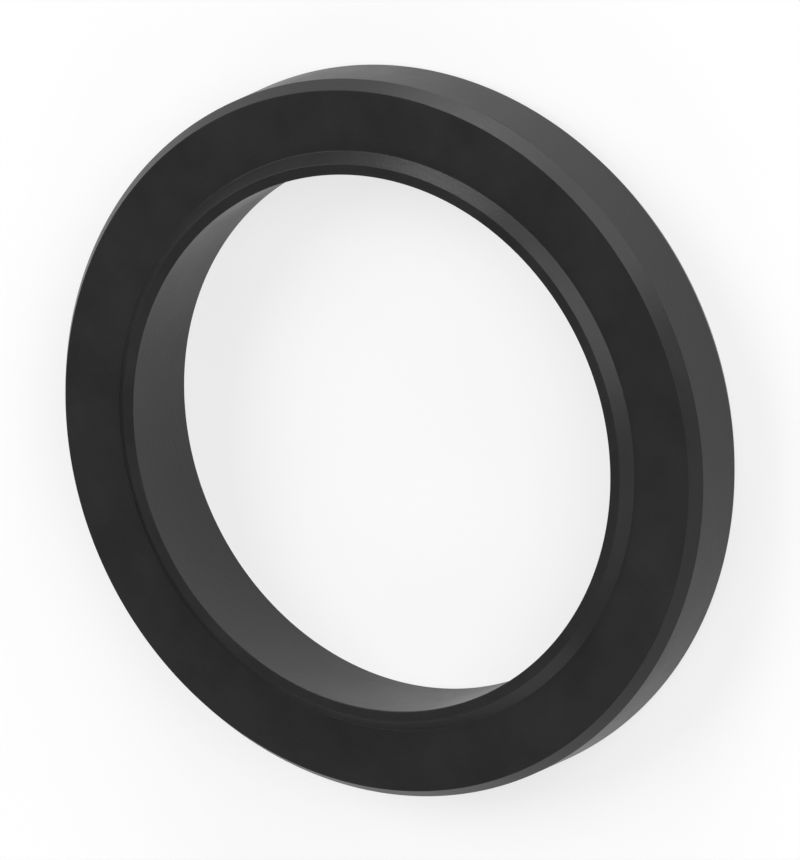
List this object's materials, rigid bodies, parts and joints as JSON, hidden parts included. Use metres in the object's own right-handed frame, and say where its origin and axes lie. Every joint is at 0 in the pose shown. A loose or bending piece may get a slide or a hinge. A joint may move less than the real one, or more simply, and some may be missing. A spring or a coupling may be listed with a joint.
{
  "type": "square-section seal ring",
  "caption": "Square-section rubber seal ring with chamfered outer rims and a low raised bead round its bore, pushed over a spigot to seal a joint face.",
  "frame": {"origin": "centre of the flat back face, on the ring's axis", "axes": "+Z along the ring's axis, from the flat back face towards the raised bead; X and Y are any two radial directions, because the ring is round"},
  "size_m": [0.04, 0.04, 0.0056],
  "materials": {
    "rubber": "moulded nitrile rubber, black, satin"
  },
  "bodies": {
    "root": {"seal_ring": "rubber"}
  },
  "joints": []
}
